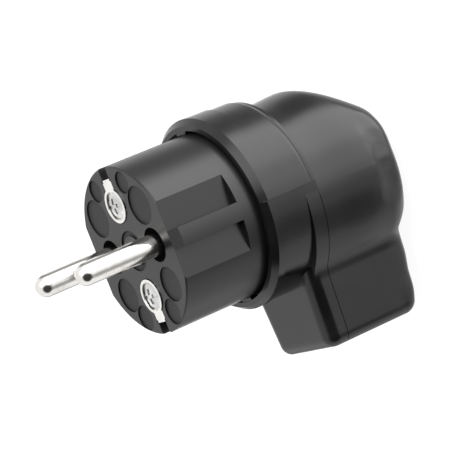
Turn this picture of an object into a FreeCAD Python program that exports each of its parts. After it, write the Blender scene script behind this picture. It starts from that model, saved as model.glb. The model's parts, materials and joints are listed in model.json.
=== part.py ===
import FreeCAD, Part
import math
import os
import Sketcher

# An angled, rewireable, earthed two-pin mains plug.
# It stands on the flat back of its rear cover with the pins straight up, along +Z.
# The cable outlet points along -Y. The origin is on the plug's axis, at the flat back.

# Driving sizes in millimetres: name, value, meaning.
SIZES = [
    ("pin_diameter", 4.8, "diameter of each contact pin"),
    ("pin_spacing", 19.0, "distance between the pin axes"),
    ("pin_reach", 19.0, "how far the pins stand out of the face"),
    ("pin_neck_diameter", 4.1, "diameter of the pin's neck in the front body"),
    ("pin_neck_rise", 0.1, "how far the neck stands out of the face"),
    ("pin_fit", 0.1, "how much wider the neck's hole in the front body is"),
    ("pin_well_diameter", 7.4, "round well in the face about each pin"),
    ("pin_well_depth", 3.0, "depth of that well"),
    ("seam_depth", 33.8, "distance of the face from the seam between shell and cover"),
    ("face_margin", 8.7, "distance of the pin axes from the side of the round front body"),
    ("face_chamfer", 0.3, "chamfer round the face"),
    ("carrier_length", 22.0, "front body, from its face to its flat back"),
    ("guide_depth", 2.0, "depth of a guide pocket"),
    ("guide_width", 16.4, "width of a guide pocket"),
    ("guide_length", 16.3, "length of a guide pocket from the face"),
    ("guide_rib_width", 3.8, "rib along the middle of a guide pocket"),
    ("guide_rib_ramp", 1.6, "length of the ramp at the rib's front end"),
    ("earth_cup_room", 0.35, "room round a housing screw's head in its cup"),
    ("earth_cup_inset", 1.4, "distance between a cup and the leg of its contact"),
    ("earth_cup_depth", 1.4, "depth of the cup's seat below the face"),
    ("earth_cup_lip", 0.25, "how far the cup's rim stands out of the face"),
    ("earth_groove_width", 3.1, "groove along the front body for the contact"),
    ("earth_groove_depth", 3.2, "depth of that groove"),
    ("earth_tab_width", 3.6, "width of the contact's tab in the face"),
    ("strip_thickness", 0.6, "thickness of the contact strip"),
    ("contact_clearance", 0.15, "clearance round a contact in the plastic"),
    ("flange_thickness", 2.8, "flange of the front body that seats on the ledge"),
    ("flange_width", 3.2, "width of the flange's foot on the ledge"),
    ("flange_clearance", 0.15, "clearance between that flange and the collar"),
    ("collar_depth", 20.0, "distance of the collar's front rim from the face"),
    ("ledge_drop", 5.0, "distance of the ledge that carries the front body from that rim"),
    ("collar_gap", 0.75, "gap between the front body and the collar"),
    ("collar_rim_wall", 1.05, "wall of the collar at its front rim"),
    ("collar_top_wall", 2.35, "wall of the collar's top half"),
    ("collar_bottom_wall", 1.95, "wall of the collar's bottom half"),
    ("collar_bevel", 1.3, "length of the collar's front bevel"),
    ("collar_length", 2.9, "length of the collar at the sides and bottom"),
    ("collar_top_length", 6.8, "length of the collar at the very top"),
    ("collar_slope_start", 6.0, "height above the pin line where it grows longer"),
    ("key_width", 3.7, "width of the keys inside the collar"),
    ("key_setback", 0.3, "distance of the keys' front ends from the collar's rim"),
    ("key_clearance", 0.1, "clearance between the keys and the front body"),
    ("ledge_step", 0.6, "how far the ledge stays back from the flange's inner side"),
    ("ledge_thickness", 1.6, "thickness of that ledge"),
    ("shroud_step", 0.45, "how far the shroud's bore lies inside the collar's"),
    ("shroud_top_wall", 2.5, "wall of the shroud's top half"),
    ("shroud_bottom_wall", 2.1, "wall of the shroud's bottom half"),
    ("shroud_edge", 1.8, "rounding of the shroud's rear edge"),
    ("parting_width", 0.2, "width of the line between the top and bottom halves"),
    ("parting_depth", 0.25, "depth of that line in the bottom half"),
    ("rim_step", 0.25, "how far the cover's rim lies inside the shroud's bottom half"),
    ("rim_slope_width", 1.9, "how far the cover's rim slopes in to the dome"),
    ("rim_slope_height", 1.4, "height of that slope"),
    ("seam_height", 23.2, "height of the seam above the flat back"),
    ("seam_gap", 0.15, "gap that shows along the seam beside the outlet"),
    ("shoulder_thickness", 3.4, "shoulder of the shell above the seam"),
    ("dome_step", 0.1, "how much smaller the dome's radius is than the shroud's bottom half"),
    ("dome_drop", 1.8, "distance of the dome's centre below the plug's axis"),
    ("dome_edge", 6.2, "rounding between the dome's sides and its back"),
    ("crown_start", 10.0, "height where the dome's top begins to slope"),
    ("crown_foot", 8.0, "distance of the slope's foot from the plug's axis"),
    ("outlet_reach", 34.2, "distance of the outlet's end from the plug's axis"),
    ("outlet_root_width", 24.8, "width of the outlet where it leaves the dome"),
    ("outlet_taper", 1.5, "how far each side of the outlet draws in towards its end"),
    ("outlet_front_rise", 4.9, "height of the outlet's front face above the seam"),
    ("outlet_heel", 9.6, "distance from the axis where the back begins to rise"),
    ("outlet_rise", 4.4, "how far the back has risen at the outlet's end"),
    ("outlet_edge", 3.0, "rounding of the outlet's long edges"),
    ("outlet_end_step", 0.4, "how much smaller the rounding round its end face is"),
    ("outlet_fillet", 5.0, "hollow corner between the dome and the outlet"),
    ("wall", 2.0, "wall thickness of the shell and the cover"),
    ("lip_height", 1.5, "lip of the cover inside the shell"),
    ("lip_thickness", 1.0, "thickness of that lip"),
    ("lip_clearance", 0.2, "clearance between the lip and the shell"),
    ("cable_bore", 9.6, "diameter of the cable entry"),
    ("cable_height", 14.0, "height of the cable's axis above the flat back"),
    ("cable_diameter", 7.2, "diameter of the cable that the clamp is made for"),
    ("cable_chamfer", 0.8, "chamfer at the mouth of the cable entry"),
    ("clamp_setback", 10.2, "distance of the cord clamp from the outlet's end"),
    ("clamp_width", 6.0, "width of the clamp strap"),
    ("clamp_thickness", 1.4, "thickness of the clamp strap"),
    ("clamp_arch", 3.8, "inner radius of the strap's arch over the cable"),
    ("clamp_gap", 0.27, "gap between the strap's ends and the outlet's walls"),
    ("clamp_screw_edge", 2.2, "distance of a clamp screw from the strap's end"),
    ("clamp_screw_head", 4.2, "head diameter of a clamp screw"),
    ("clamp_screw_shank", 2.6, "shank diameter of a clamp screw"),
    ("clamp_screw_length", 7.0, "shank length of a clamp screw"),
    ("clamp_head_height", 1.6, "head height of a clamp screw"),
    ("clamp_post", 4.8, "diameter of the posts under the clamp"),
    ("terminal_width", 8.0, "width of a terminal block"),
    ("terminal_length", 10.0, "length of a pin's terminal block"),
    ("terminal_height", 10.0, "height of a pin's terminal block"),
    ("terminal_seat", 4.0, "depth of the terminal's seat in the front body"),
    ("terminal_head", 4.4, "head diameter of a terminal screw"),
    ("terminal_shank", 2.8, "shank diameter of a terminal screw"),
    ("terminal_head_height", 1.8, "head height of a terminal screw"),
    ("terminal_bite", 3.6, "how deep a terminal screw reaches"),
    ("wire_bore", 2.8, "hole for the wire in a terminal"),
    ("spigot_diameter", 3.8, "spigot of the pin inside its terminal"),
    ("spigot_length", 4.0, "length of that spigot"),
    ("terminal_cheek", 1.6, "metal of the terminal beside that spigot"),
    ("bridge_width", 7.0, "width of the earth bridge"),
    ("bridge_thickness", 1.0, "thickness of the earth bridge"),
    ("bridge_overhang", 3.2, "earth bridge beyond each housing screw"),
    ("bridge_corner", 1.5, "rounding of the earth bridge's corners"),
    ("earth_block_gap", 1.5, "gap between the earth terminal and the terminal blocks"),
    ("earth_block_length", 7.0, "length of the earth terminal"),
    ("earth_block_height", 7.0, "height of the earth terminal"),
    ("housing_screw_head", 5.5, "head diameter of a housing screw"),
    ("housing_screw_head_height", 1.3, "head height of a housing screw"),
    ("housing_screw_shank", 3.2, "shank diameter of a housing screw"),
    ("housing_screw_length", 36.0, "shank length of a housing screw"),
    ("screw_clearance", 0.2, "clearance round a screw's shank"),
    ("insert_diameter", 4.8, "diameter of a brass insert"),
    ("insert_length", 7.0, "length of a brass insert"),
    ("boss_diameter", 6.8, "diameter of the bosses in the cover"),
    ("boss_gap", 6.4, "gap between the bosses and the earth bridge"),
    ("slot_width", 0.8, "width of a screw's slot"),
    ("slot_depth", 0.7, "depth of a screw's slot"),
    ("screw_tip", 0.4, "chamfer at a screw's tip"),
    ("spare_depth", 1.0, "depth of a screw hole beyond the screw's tip"),
]

SHEET = "sizes"

# How far a cut runs past the surface that it opens, in millimetres.
BEYOND = 1.0
# Slack within which two measures of the model count as equal, in millimetres.
SLACK = 0.02
# Proportions: a screw head's upright edge, its cross and the wire hole of a terminal.
HEAD_EDGE = 0.55
CROSS_ARM = 0.3
CROSS_DEPTH = 1.3
WIRE_DEPTH = 0.55
# Part of the wall's thickness that stays beneath the root of a boss or post.
ROOTED = 0.5


class Size:
    """A length that carries its number and the sheet formula that gives it."""

    def __init__(self, text, number):
        self.text = text
        self.number = number

    def join(self, sign, other, number):
        return Size("(%s %s %s)" % (self.text, sign, other.text), number)

    def __add__(self, other):
        other = as_size(other)
        return self.join("+", other, self.number + other.number)

    def __radd__(self, other):
        return as_size(other) + self

    def __sub__(self, other):
        other = as_size(other)
        return self.join("-", other, self.number - other.number)

    def __rsub__(self, other):
        return as_size(other) - self

    def __mul__(self, other):
        other = as_size(other)
        return self.join("*", other, self.number * other.number)

    def __rmul__(self, other):
        return as_size(other) * self

    def __truediv__(self, other):
        other = as_size(other)
        return self.join("/", other, self.number / other.number)

    def __rtruediv__(self, other):
        return as_size(other) / self

    def __neg__(self):
        return Size("(0 - %s)" % self.text, -self.number)


def as_size(value):
    """Take a plain number as a size."""
    if isinstance(value, Size):
        return value
    if value < 0:
        return Size("(0 - %r)" % -float(value), float(value))
    return Size("%r" % float(value), float(value))


def square_root(value):
    """Square root of a size."""
    value = as_size(value)
    return Size("sqrt(%s)" % value.text, math.sqrt(value.number))


def make_sheet(doc):
    """Write the driving sizes into the spreadsheet and give them back by name."""
    sheet = doc.addObject("Spreadsheet::Sheet", SHEET)
    named = {}
    for row, (name, value, meaning) in enumerate(SIZES, start=1):
        sheet.set("A%d" % row, name)
        sheet.set("B%d" % row, "%r" % value)
        sheet.setAlias("B%d" % row, name)
        sheet.set("C%d" % row, meaning)
        named[name] = Size("%s.%s" % (SHEET, name), value)
    doc.recompute()
    return named


doc = FreeCAD.newDocument("angled_plug")
size = make_sheet(doc)
PARTS = []


def bind(thing, path, value):
    """Bind one property of an object to a size."""
    value = as_size(value)
    thing.setExpression(path, value.text)


def new_body(label, kept=True):
    """Start a sub-part; a kept one is written to the file that its label names."""
    body = doc.addObject("PartDesign::Body", label)
    body.Label = label
    if kept:
        PARTS.append(body)
    return body


def new_sketch(body, name, role, offset=None):
    """Put a sketch on one of the body's own origin planes, lifted by an offset."""
    sketch = body.newObject("Sketcher::SketchObject", name)
    plane = [item for item in body.Origin.OriginFeatures if item.Role == role][0]
    sketch.AttachmentSupport = [(plane, "")]
    sketch.MapMode = "FlatFace"
    if offset is not None:
        bind(sketch, "AttachmentOffset.Base.z", offset)
    return sketch


def constrain(sketch, value, *parts):
    """Add one dimension to a sketch and bind it to a size."""
    value = as_size(value)
    index = sketch.addConstraint(Sketcher.Constraint(*parts, value.number))
    bind(sketch, "Constraints[%d]" % index, value)


def fix_point(sketch, geometry, position, across, along):
    """Hold one point of a sketch at a place given from its origin."""
    constrain(sketch, across, "DistanceX", -1, 1, geometry, position)
    constrain(sketch, along, "DistanceY", -1, 1, geometry, position)


def draw_circle(sketch, diameter, across=0.0, along=0.0):
    """Draw one circle in a sketch."""
    diameter, across, along = as_size(diameter), as_size(across), as_size(along)
    centre = FreeCAD.Vector(across.number, along.number, 0)
    circle = Part.Circle(centre, FreeCAD.Vector(0, 0, 1), diameter.number / 2)
    index = sketch.addGeometry(circle)
    fix_point(sketch, index, 3, across, along)
    constrain(sketch, diameter, "Diameter", index)


def arc_between(start, end, radius):
    """The shorter arc from start to end; a negative radius turns clockwise."""
    chord = end - start
    half = chord.Length / 2
    turn = 1.0 if radius > 0 else -1.0
    height = math.sqrt(max(radius * radius - half * half, 0.0))
    normal = FreeCAD.Vector(-chord.y, chord.x, 0).normalize()
    centre = start + chord * 0.5 + normal * height * turn
    first = math.atan2(start.y - centre.y, start.x - centre.x)
    last = math.atan2(end.y - centre.y, end.x - centre.x)
    if turn < 0:
        first, last = last, first
    while last < first:
        last += 2 * math.pi
    circle = Part.Circle(centre, FreeCAD.Vector(0, 0, 1), abs(radius))
    return Part.ArcOfCircle(circle, first, last)


def draw_outline(sketch, corners, arcs=None):
    """Draw a closed outline through corners; arcs gives the radius of bent sides."""
    arcs = arcs or {}
    corners = [(as_size(across), as_size(along)) for across, along in corners]
    points = [FreeCAD.Vector(x.number, y.number, 0) for x, y in corners]
    count = len(corners)
    ends = []
    for index in range(count):
        start, end = points[index], points[(index + 1) % count]
        if index in arcs:
            radius = as_size(arcs[index])
            forward = radius.number > 0
            item = sketch.addGeometry(arc_between(start, end, radius.number))
            constrain(sketch, radius if forward else -radius, "Radius", item)
            ends.append((item, 1, 2) if forward else (item, 2, 1))
        else:
            item = sketch.addGeometry(Part.LineSegment(start, end))
            ends.append((item, 1, 2))
    for index, (item, first, last) in enumerate(ends):
        following = ends[(index + 1) % count]
        sketch.addConstraint(Sketcher.Constraint("Coincident", item, last, following[0], following[1]))
        fix_point(sketch, item, first, *corners[index])


def add_feature(body, kind, name, sketch=None):
    """Add a PartDesign feature on a sketch to the body."""
    feature = body.newObject("PartDesign::" + kind, name)
    if sketch is not None:
        feature.Profile = sketch
        sketch.Visibility = False
    return feature


def pad(body, name, sketch, length, side="One side", reverse=False):
    """Raise a sketch by a length."""
    feature = add_feature(body, "Pad", name, sketch)
    feature.SideType = side
    feature.Reversed = reverse
    bind(feature, "Length", length)
    return feature


def pocket(body, name, sketch, length=None, side="One side", reverse=False):
    """Cut a sketch into the body, right through when no length is given."""
    feature = add_feature(body, "Pocket", name, sketch)
    feature.SideType = side
    feature.Reversed = reverse
    if length is None:
        feature.Type = "ThroughAll"
    else:
        bind(feature, "Length", length)
    return feature


def turn(body, name, sketch, kind="Revolution", angle=360):
    """Turn a sketch round its own upright axis."""
    feature = add_feature(body, kind, name, sketch)
    feature.ReferenceAxis = (sketch, ["V_Axis"])
    feature.Angle = angle
    return feature


def combine(body, name, kind, other):
    """Fuse another body with this one, or cut it away."""
    feature = body.newObject("PartDesign::Boolean", name)
    feature.Type = kind
    feature.setObjects([other])
    return feature


def pick_edges(shape, wanted):
    """Names of the edges for which the test holds, in the shape's own order."""
    return ["Edge%d" % number for number, edge in enumerate(shape.Edges, start=1) if wanted(edge)]


def dress(body, kind, name, amount, wanted):
    """Round or chamfer the edges of the body's tip that pass a test."""
    doc.recompute()
    base = body.Tip
    names = pick_edges(base.Shape, wanted)
    feature = body.newObject("PartDesign::" + kind, name)
    feature.Base = (base, names)
    bind(feature, "Radius" if kind == "Fillet" else "Size", amount)
    doc.recompute()
    return feature


def near(first, second):
    """True where two numbers agree."""
    return abs(first - second) < SLACK


def is_level(edge, height):
    """True for an edge that lies in the level plane at a height."""
    box = edge.BoundBox
    return near(box.ZMin, height) and near(box.ZMax, height)


def is_upright(edge):
    """True for a straight edge that runs along Z."""
    box = edge.BoundBox
    return box.ZLength > SLACK and near(box.XLength, 0) and near(box.YLength, 0)


def runs_out(edge):
    """True for an edge that runs along the outlet, from the dome to its end."""
    return edge.BoundBox.YLength > SLACK


def middle(edge):
    """The point half-way along an edge."""
    return edge.valueAt((edge.FirstParameter + edge.LastParameter) / 2)


# Places that follow from the driving sizes.
seam = size["seam_height"]
face = seam + size["seam_depth"]
carrier_back = face - size["carrier_length"]
rim_height = face - size["collar_depth"]
ledge_top = rim_height - size["ledge_drop"]
ledge_bottom = ledge_top - size["ledge_thickness"]
terminal_top = carrier_back + size["terminal_seat"]
cup_seat = face - size["earth_cup_depth"]
head_seat = cup_seat + size["strip_thickness"]
bridge_top = carrier_back - size["strip_thickness"]
bridge_bottom = bridge_top - size["bridge_thickness"]
boss_top = bridge_bottom - size["boss_gap"]
outlet_front = seam + size["outlet_front_rise"]

# Distances and radii from the plug's axis.
pin_place = size["pin_spacing"] / 2
face_radius = pin_place + size["face_margin"]
groove_floor = face_radius - size["earth_groove_depth"]
strip_outside = groove_floor + size["strip_thickness"]
cup_radius = size["housing_screw_head"] / 2 + size["earth_cup_room"] + size["strip_thickness"]
screw_place = groove_floor - size["earth_cup_inset"] - cup_radius
screw_hole = size["housing_screw_shank"] + 2 * size["screw_clearance"]
collar_bore = face_radius + size["collar_gap"]
collar_rim = collar_bore + size["collar_rim_wall"]
flange_radius = collar_bore - size["flange_clearance"]
flange_inside = flange_radius - size["flange_width"]
ledge_bore = flange_inside + size["ledge_step"]
shroud_bore = collar_bore - size["shroud_step"]
shroud_low = shroud_bore + size["shroud_bottom_wall"]
shroud_high = shroud_bore + size["shroud_top_wall"]
dome_radius = shroud_low - size["dome_step"]
lip_radius = dome_radius - size["wall"] + size["lip_thickness"]
root_half = size["outlet_root_width"] / 2
outlet_root = size["dome_drop"] + square_root(dome_radius * dome_radius - root_half * root_half)
end_edge = size["outlet_edge"] - size["outlet_end_step"]
clamp_place = size["outlet_reach"] - size["clamp_setback"]


def rectangle(left, bottom, right, top):
    """Corners of an upright rectangle."""
    return [(left, bottom), (right, bottom), (right, top), (left, top)]


def make_carrier():
    """The round front body with its flange, guide pockets, grooves, wells and seats."""
    body = new_body("pin_carrier")
    radius = face_radius
    flange = flange_radius
    foot = flange_inside
    chamfer = size["face_chamfer"]
    outline = new_sketch(body, "carrier_outline", "XZ_Plane")
    draw_outline(outline, [
        (0, carrier_back), (foot, carrier_back), (foot, ledge_top), (flange, ledge_top),
        (flange, ledge_top + size["flange_thickness"]), (radius, ledge_top + size["flange_thickness"]),
        (radius, face - chamfer), (radius - chamfer, face), (0, face)])
    turn(body, "carrier_turned", outline)

    guides = new_sketch(body, "guide_outline", "XY_Plane", face - size["guide_length"])
    rib = size["guide_rib_width"] / 2
    edge = size["guide_width"] / 2
    floor = radius - size["guide_depth"]
    for left, right in ((floor, radius + BEYOND), (-radius - BEYOND, -floor)):
        for low, high in ((rib, edge), (-edge, -rib)):
            draw_outline(guides, rectangle(left, low, right, high))
    pocket(body, "guide_pockets", guides, reverse=True)

    ramps = new_sketch(body, "ramp_outline", "XZ_Plane")
    ramp = size["guide_rib_ramp"]
    reach = ramp / size["guide_depth"] * BEYOND
    for side in (1, -1):
        draw_outline(ramps, [
            (side * floor, face), (side * (radius + BEYOND), face - ramp - reach),
            (side * (radius + BEYOND), face + BEYOND), (side * floor, face + BEYOND)])
    pocket(body, "rib_ramps", ramps, size["guide_width"], side="Symmetric")

    grooves = new_sketch(body, "groove_outline", "XY_Plane", ledge_top - BEYOND)
    half = size["earth_groove_width"] / 2
    for low, high in ((groove_floor, flange + BEYOND), (-flange - BEYOND, -groove_floor)):
        draw_outline(grooves, rectangle(-half, low, half, high))
    pocket(body, "earth_grooves", grooves, reverse=True)

    cups = new_sketch(body, "cup_outline", "XY_Plane", face)
    for place in (screw_place, -screw_place):
        draw_circle(cups, 2 * (cup_radius + size["contact_clearance"]), 0, place)
    pocket(body, "cup_seats", cups, size["earth_cup_depth"])

    tabs = new_sketch(body, "tab_outline", "XY_Plane", face)
    half = size["earth_tab_width"] / 2 + size["contact_clearance"]
    outer = strip_outside + size["contact_clearance"]
    for low, high in ((screw_place, outer), (-outer, -screw_place)):
        draw_outline(tabs, rectangle(-half, low, half, high))
    pocket(body, "tab_seats", tabs, size["strip_thickness"])

    wells = new_sketch(body, "well_outline", "XY_Plane", face)
    holes = new_sketch(body, "hole_outline", "XY_Plane", face)
    for place in (pin_place, -pin_place):
        draw_circle(wells, size["pin_well_diameter"], place, 0)
        draw_circle(holes, size["pin_neck_diameter"] + size["pin_fit"], place, 0)
    for place in (screw_place, -screw_place):
        draw_circle(holes, screw_hole, 0, place)
    pocket(body, "pin_wells", wells, size["pin_well_depth"])
    pocket(body, "through_holes", holes)

    seats = new_sketch(body, "terminal_outline", "XY_Plane", carrier_back)
    half = size["terminal_width"] / 2 + size["contact_clearance"]
    low, high = terminal_reach()
    low = low - size["contact_clearance"]
    high = high + size["contact_clearance"]
    for place in (pin_place, -pin_place):
        draw_outline(seats, rectangle(place - half, low, place + half, high))
    pocket(body, "terminal_seats", seats, size["terminal_seat"], reverse=True)
    return body


def terminal_reach():
    """How far a pin's terminal block reaches below and above the pin axis."""
    high = size["spigot_diameter"] / 2 + size["terminal_cheek"]
    return high - size["terminal_length"], high


def make_pin(label, side):
    """One round-ended pin with its neck and the spigot that its terminal is pressed on."""
    body = new_body(label)
    radius = size["pin_diameter"] / 2
    neck = size["pin_neck_diameter"] / 2
    spigot = size["spigot_diameter"] / 2
    tip = face + size["pin_reach"]
    shoulder = face + size["pin_neck_rise"]
    end = terminal_top - size["spigot_length"]
    outline = new_sketch(body, label + "_outline", "XZ_Plane")
    draw_outline(outline, [
        (0, end), (spigot, end), (spigot, terminal_top), (neck, terminal_top), (neck, shoulder),
        (radius, shoulder), (radius, tip - radius), (0, tip)], {6: radius})
    turn(body, label + "_turned", outline)
    bind(body, "Placement.Base.x", side * pin_place)
    return body


def make_terminal(label, side):
    """The brass block on the inner end of a pin, with its wire hole and screw hole."""
    body = new_body(label)
    half = size["terminal_width"] / 2
    low, high = terminal_reach()
    bottom = terminal_top - size["terminal_height"]
    outline = new_sketch(body, label + "_outline", "XY_Plane", bottom)
    draw_outline(outline, rectangle(-half, low, half, high))
    pad(body, label + "_block", outline, size["terminal_height"])
    socket = new_sketch(body, label + "_socket", "XY_Plane", terminal_top)
    draw_circle(socket, size["spigot_diameter"])
    pocket(body, label + "_pin_hole", socket, size["spigot_length"])
    thread = new_sketch(body, label + "_thread", "XY_Plane", bottom)
    draw_circle(thread, size["terminal_shank"], 0, terminal_screw_place())
    pocket(body, label + "_screw_hole", thread, size["terminal_bite"], reverse=True)
    wire = new_sketch(body, label + "_wire", "XZ_Plane", -low)
    draw_circle(wire, size["wire_bore"], 0, bottom + size["terminal_bite"])
    pocket(body, label + "_wire_hole", wire, size["terminal_length"] * WIRE_DEPTH)
    bind(body, "Placement.Base.x", side * pin_place)
    return body


def terminal_screw_place():
    """Place of the terminal screw, half-way between the spigot and the block's end."""
    return (terminal_reach()[0] - size["spigot_diameter"] / 2) / 2


def make_screw(label, head, head_height, shank, length, cross=False):
    """A screw with a domed head above its own origin and its shank below."""
    body = new_body(label)
    edge = head_height * HEAD_EDGE
    radius = head / 2
    rise = head_height - edge
    bow = (radius * radius / rise + rise) / 2
    tip = size["screw_tip"]
    outline = new_sketch(body, label + "_outline", "XZ_Plane")
    draw_outline(outline, [
        (0, -length), (shank / 2 - tip, -length), (shank / 2, tip - length), (shank / 2, 0),
        (radius, 0), (radius, edge), (0, head_height)], {5: bow})
    turn(body, label + "_turned", outline)
    slot = new_sketch(body, label + "_slot_outline", "XY_Plane", head_height)
    half = size["slot_width"] / 2
    draw_outline(slot, rectangle(-radius - BEYOND, -half, radius + BEYOND, half))
    pocket(body, label + "_slot", slot, size["slot_depth"])
    if cross:
        arms = new_sketch(body, label + "_cross_outline", "XY_Plane", head_height)
        arm = head * CROSS_ARM
        draw_outline(arms, rectangle(-half, -arm, half, arm))
        pocket(body, label + "_cross", arms, size["slot_depth"] * CROSS_DEPTH)
    return body


def make_housing_screw(label, side):
    """A long screw from an earth contact's cup to the insert in the cover."""
    body = make_screw(label, size["housing_screw_head"], size["housing_screw_head_height"],
                      size["housing_screw_shank"], size["housing_screw_length"], cross=True)
    bind(body, "Placement.Base.y", side * screw_place)
    bind(body, "Placement.Base.z", head_seat)
    return body


def make_terminal_screw(label, across, along, bottom):
    """A short screw that enters a terminal block from the back."""
    body = make_screw(label, size["terminal_head"], size["terminal_head_height"],
                      size["terminal_shank"], size["terminal_bite"])
    body.Placement.Rotation = FreeCAD.Rotation(FreeCAD.Vector(1, 0, 0), 180)
    bind(body, "Placement.Base.x", across)
    bind(body, "Placement.Base.y", along)
    bind(body, "Placement.Base.z", bottom)
    return body


def make_earth_contact(label, turned):
    """A bent strip: a cup in the face, a leg along the groove and a foot behind the carrier."""
    body = new_body(label)
    strip = size["strip_thickness"]
    cup = cup_radius
    hole = screw_hole / 2
    cup_outline = new_sketch(body, label + "_cup_outline", "XZ_Plane", -screw_place)
    lip = face + size["earth_cup_lip"]
    draw_outline(cup_outline, [
        (hole, cup_seat), (cup, cup_seat), (cup, lip), (cup - strip, lip),
        (cup - strip, head_seat), (hole, head_seat)])
    turn(body, label + "_cup", cup_outline)

    side = new_sketch(body, label + "_leg_outline", "YZ_Plane")
    start = screw_place + cup - strip / 2
    floor = groove_floor
    draw_outline(side, [
        (start, face), (strip_outside, face), (strip_outside, bridge_top),
        (floor - strip, bridge_top), (floor - strip, carrier_back), (floor, carrier_back),
        (floor, face - strip), (start, face - strip)])
    leg = size["earth_groove_width"] - size["contact_clearance"]
    pad(body, label + "_leg", side, leg, side="Symmetric")

    tab = new_sketch(body, label + "_tab_outline", "XY_Plane", face - strip)
    half = size["earth_tab_width"] / 2
    draw_outline(tab, rectangle(-half, start, half, floor))
    pad(body, label + "_tab", tab, strip)

    foot = new_sketch(body, label + "_foot_outline", "XY_Plane", bridge_top)
    half = size["bridge_width"] / 2
    draw_outline(foot, rectangle(-half, screw_place - size["bridge_overhang"], half, floor - strip))
    draw_circle(foot, screw_hole, 0, screw_place)
    pad(body, label + "_foot", foot, strip)
    if turned:
        body.Placement.Rotation = FreeCAD.Rotation(FreeCAD.Vector(0, 0, 1), 180)
    return body


def make_bridge():
    """The bar that joins both earth contacts behind the carrier."""
    body = new_body("earth_bridge")
    half = size["bridge_width"] / 2
    reach = screw_place + size["bridge_overhang"]
    outline = new_sketch(body, "bridge_outline", "XY_Plane", bridge_bottom)
    draw_outline(outline, rectangle(-half, -reach, half, reach))
    for place in (screw_place, -screw_place):
        draw_circle(outline, screw_hole, 0, place)
    pad(body, "bridge_bar", outline, size["bridge_thickness"])
    dress(body, "Fillet", "bridge_corners", size["bridge_corner"],
          lambda edge: is_upright(edge) and near(abs(middle(edge).y), reach.number))
    return body


def make_earth_terminal():
    """The earth clamp block under the middle of the bridge."""
    body = new_body("earth_terminal")
    half = pin_place - size["terminal_width"] / 2 - size["earth_block_gap"]
    reach = size["earth_block_length"] / 2
    bottom = bridge_bottom - size["earth_block_height"]
    outline = new_sketch(body, "earth_block_outline", "XY_Plane", bottom)
    draw_outline(outline, rectangle(-half, -reach, half, reach))
    pad(body, "earth_block", outline, size["earth_block_height"])
    thread = new_sketch(body, "earth_thread_outline", "XY_Plane", bottom)
    draw_circle(thread, size["terminal_shank"])
    pocket(body, "earth_screw_hole", thread, size["terminal_bite"], reverse=True)
    wire = new_sketch(body, "earth_wire_outline", "XZ_Plane")
    draw_circle(wire, size["wire_bore"], 0, bottom + size["terminal_bite"])
    pocket(body, "earth_wire_hole", wire, side="Symmetric")
    return body


def make_insert(label, side):
    """A brass insert in one of the cover's bosses."""
    body = new_body(label)
    outline = new_sketch(body, label + "_outline", "XY_Plane", boss_top - size["insert_length"])
    draw_circle(outline, size["insert_diameter"])
    draw_circle(outline, size["housing_screw_shank"])
    pad(body, label + "_sleeve", outline, size["insert_length"])
    bind(body, "Placement.Base.y", side * screw_place)
    return body


def outlet_half(distance, inset=0):
    """Half the outlet's width at a distance from the plug's axis."""
    slope = size["outlet_taper"] / (size["outlet_reach"] - outlet_root)
    return root_half - slope * (distance - outlet_root) - inset


def clamp_reach():
    """Half the length of the clamp strap, which lies between the outlet's walls."""
    end = clamp_place + size["clamp_width"] / 2
    return outlet_half(end, size["wall"]) - size["clamp_gap"]


def clamp_across():
    """Distance of the clamp screws from the outlet's middle."""
    return clamp_reach() - size["clamp_screw_edge"]


def outlet_back(distance):
    """Height of the outlet's back at a distance from the plug's axis."""
    rise = size["outlet_rise"] / (size["outlet_reach"] - size["outlet_heel"])
    return rise * (distance - size["outlet_heel"])


def outlet_plan(inset, start):
    """Corners of the outlet's plan, from a start inside the dome to its end."""
    end = size["outlet_reach"] - inset
    wide = outlet_half(start, inset)
    narrow = outlet_half(end, inset)
    return [(-wide, -start), (-narrow, -end), (narrow, -end), (wide, -start)]


def outlet_start():
    """Where the outlet begins, well inside the dome."""
    return outlet_root - 2 * size["outlet_edge"]


def on_outlet_end(edge):
    """True for an edge that lies in the outlet's end plane."""
    box = edge.BoundBox
    reach = -size["outlet_reach"].number
    return near(box.YMin, reach) and near(box.YMax, reach)


def in_crease(edge):
    """True for an edge that lies where the outlet leaves the dome."""
    box = edge.BoundBox
    root = -outlet_root.number
    radius = size["outlet_fillet"].number
    return box.YMin > root - radius and box.YMax < root + radius


def make_collar():
    """The collar: a bevelled ring whose rear edge runs back towards the top."""
    body = new_body("collar", kept=False)
    bore = collar_bore
    rim = collar_rim
    lower = bore + size["collar_bottom_wall"]
    outside = bore + size["collar_top_wall"]
    low = rim_height - size["collar_top_length"]
    step = rim_height - size["collar_length"]
    for name, reach, angle in (("bottom", lower, 360), ("top", outside, 180)):
        ring = new_sketch(body, "collar_%s_outline" % name, "XZ_Plane")
        draw_outline(ring, [
            (bore, low), (reach, low), (reach, rim_height - size["collar_bevel"]),
            (rim, rim_height), (bore, rim_height)])
        turn(body, "collar_" + name, ring, angle=angle)
    trim = new_sketch(body, "collar_trim_outline", "YZ_Plane")
    draw_outline(trim, [
        (-outside - BEYOND, low - BEYOND), (outside, low - BEYOND), (outside, low),
        (size["collar_slope_start"], step), (-outside - BEYOND, step)])
    pocket(body, "collar_trim", trim, side="Symmetric")
    return body


def make_outlet_front():
    """The outlet's front half, solid, from the seam up to its front face."""
    body = new_body("outlet_front", kept=False)
    front = outlet_front
    plan = new_sketch(body, "outlet_front_outline", "XY_Plane", seam)
    draw_outline(plan, outlet_plan(as_size(0), outlet_start()))
    pad(body, "outlet_front_block", plan, front - seam)
    dress(body, "Fillet", "outlet_front_edges", size["outlet_edge"],
          lambda edge: is_level(edge, front.number) and runs_out(edge))
    dress(body, "Fillet", "outlet_front_end", end_edge,
          lambda edge: on_outlet_end(edge) and not is_level(edge, seam.number))
    return body


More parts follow.
